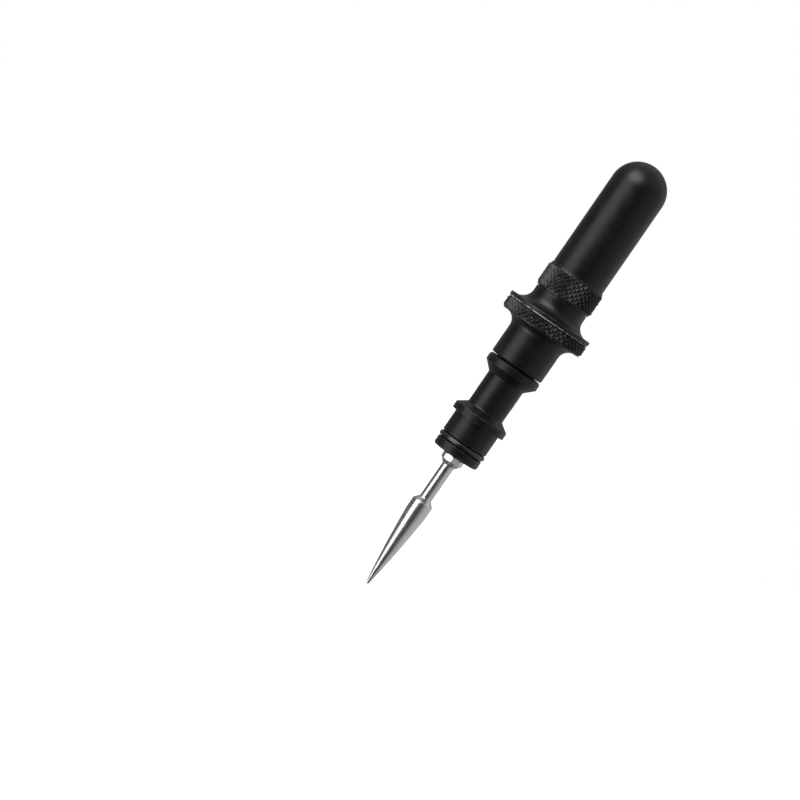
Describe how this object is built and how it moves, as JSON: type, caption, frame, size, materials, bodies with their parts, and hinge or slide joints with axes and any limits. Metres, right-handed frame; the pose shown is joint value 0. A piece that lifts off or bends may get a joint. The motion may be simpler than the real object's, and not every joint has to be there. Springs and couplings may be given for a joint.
{
  "type": "tyre plug insertion tool",
  "caption": "Pocket tool for plugging a tubeless bicycle tyre: steel awl, sealed plug holder, hand-stop hub, slotted fork under a domed push-on cap.",
  "frame": {"origin": "the point of the awl, which is the end that goes into the puncture", "axes": "+Z along the tool's axis, from the awl's point to the crown of the domed cap; the tool is round about Z, and the loaded plug's two tails lie in the YZ plane"},
  "size_m": [0.0256, 0.0256, 0.1374],
  "materials": {
    "black_anodised_aluminium": "satin black anodised over a fine bead blast, knurled bands on flange and cap ring",
    "polished_steel": "ground and polished stainless steel",
    "seal_rubber": "moulded black nitrile, slightly glossy",
    "plug_rubber": "tacky brown vulcanising rope, matte",
    "pad_silicone": "grey moulded silicone, matte"
  },
  "bodies": {
    "awl": {"awl": "polished_steel"},
    "awl_seal": {"awl_o_ring": "seal_rubber"},
    "holder": {"holder": "black_anodised_aluminium", "spigot_o_ring": "seal_rubber", "spare_plug_1": "plug_rubber", "spare_plug_2": "plug_rubber", "spare_plug_3": "plug_rubber", "spare_plug_4": "plug_rubber", "spare_plug_5": "plug_rubber"},
    "joint_seal": {"joint_o_ring": "seal_rubber"},
    "hub": {"hub": "black_anodised_aluminium", "cap_o_ring": "seal_rubber"},
    "fork_seal": {"fork_o_ring": "seal_rubber"},
    "fork": {"fork": "polished_steel", "loaded_plug": "plug_rubber"},
    "dome_pad": {"cap_pad": "pad_silicone"},
    "cap": {"cap_shell": "black_anodised_aluminium"}
  },
  "joints": [
    {"name": "awl_thread_travel", "type": "slide", "parent": "awl", "child": "awl_seal", "axis": [0, 0, 1], "range_m": [0, 0.0056]},
    {"name": "awl_thread", "type": "hinge", "parent": "awl_seal", "child": "holder", "pos_m": [0, 0, 0.04225], "axis": [0, 0, 1], "range_deg": [0, 2880]},
    {"name": "holder_thread_travel", "type": "slide", "parent": "holder", "child": "joint_seal", "axis": [0, 0, 1], "range_m": [0, 0.0075]},
    {"name": "holder_thread", "type": "hinge", "parent": "joint_seal", "child": "hub", "pos_m": [0, 0, 0.07165], "axis": [0, 0, 1], "range_deg": [0, 2700]},
    {"name": "fork_thread_travel", "type": "slide", "parent": "hub", "child": "fork_seal", "axis": [0, 0, 1], "range_m": [0, 0.0056]},
    {"name": "fork_thread", "type": "hinge", "parent": "fork_seal", "child": "fork", "pos_m": [0, 0, 0.1005], "axis": [0, 0, 1], "range_deg": [0, 2880]},
    {"name": "cap_pull", "type": "slide", "parent": "hub", "child": "dome_pad", "axis": [0, 0, 1], "range_m": [0, 0.045]},
    {"name": "cap_turn", "type": "hinge", "parent": "dome_pad", "child": "cap", "pos_m": [0, 0, 0.09355], "axis": [0, 0, 1], "continuous": true}
  ],
  "couplings": [
    {"joint": "awl_thread", "follows": "awl_thread_travel", "rad_per_m": 8976},
    {"joint": "holder_thread", "follows": "holder_thread_travel", "rad_per_m": 6283.2},
    {"joint": "fork_thread", "follows": "fork_thread_travel", "rad_per_m": 8976}
  ]
}
